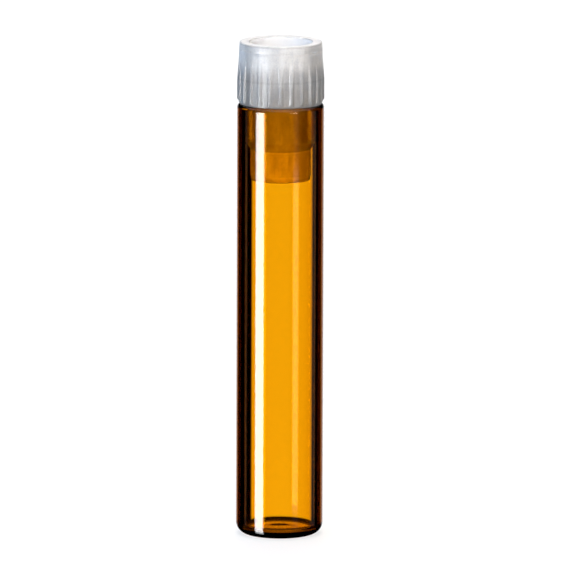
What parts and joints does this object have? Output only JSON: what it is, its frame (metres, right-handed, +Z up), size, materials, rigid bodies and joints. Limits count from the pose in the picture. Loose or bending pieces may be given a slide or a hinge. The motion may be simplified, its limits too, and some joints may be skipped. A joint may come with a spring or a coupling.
{
  "type": "glass sample vial",
  "caption": "Slim flat-bottomed amber glass shell vial with a straight mouth, closed by a push-in translucent plastic plug with a ribbed head.",
  "frame": {"origin": "on the vial's axis, in the plane of the ring it stands on", "axes": "+Z up along the vial's axis, from the base to the plug; +X and +Y lie in the plane it stands on, and a rib of the head points along +X"},
  "size_m": [0.008, 0.008, 0.0457],
  "materials": {
    "amber_glass": "clear amber, fire-polished, glossy",
    "natural_polyethylene": "undyed, translucent, satin as moulded"
  },
  "bodies": {
    "vial": {"glass_vial": "amber_glass"},
    "plug": {"push_plug": "natural_polyethylene"}
  },
  "joints": [
    {"name": "plug_pull", "type": "slide", "parent": "vial", "child": "plug", "axis": [0, 0, 1], "range_m": [0, 0.012]}
  ]
}
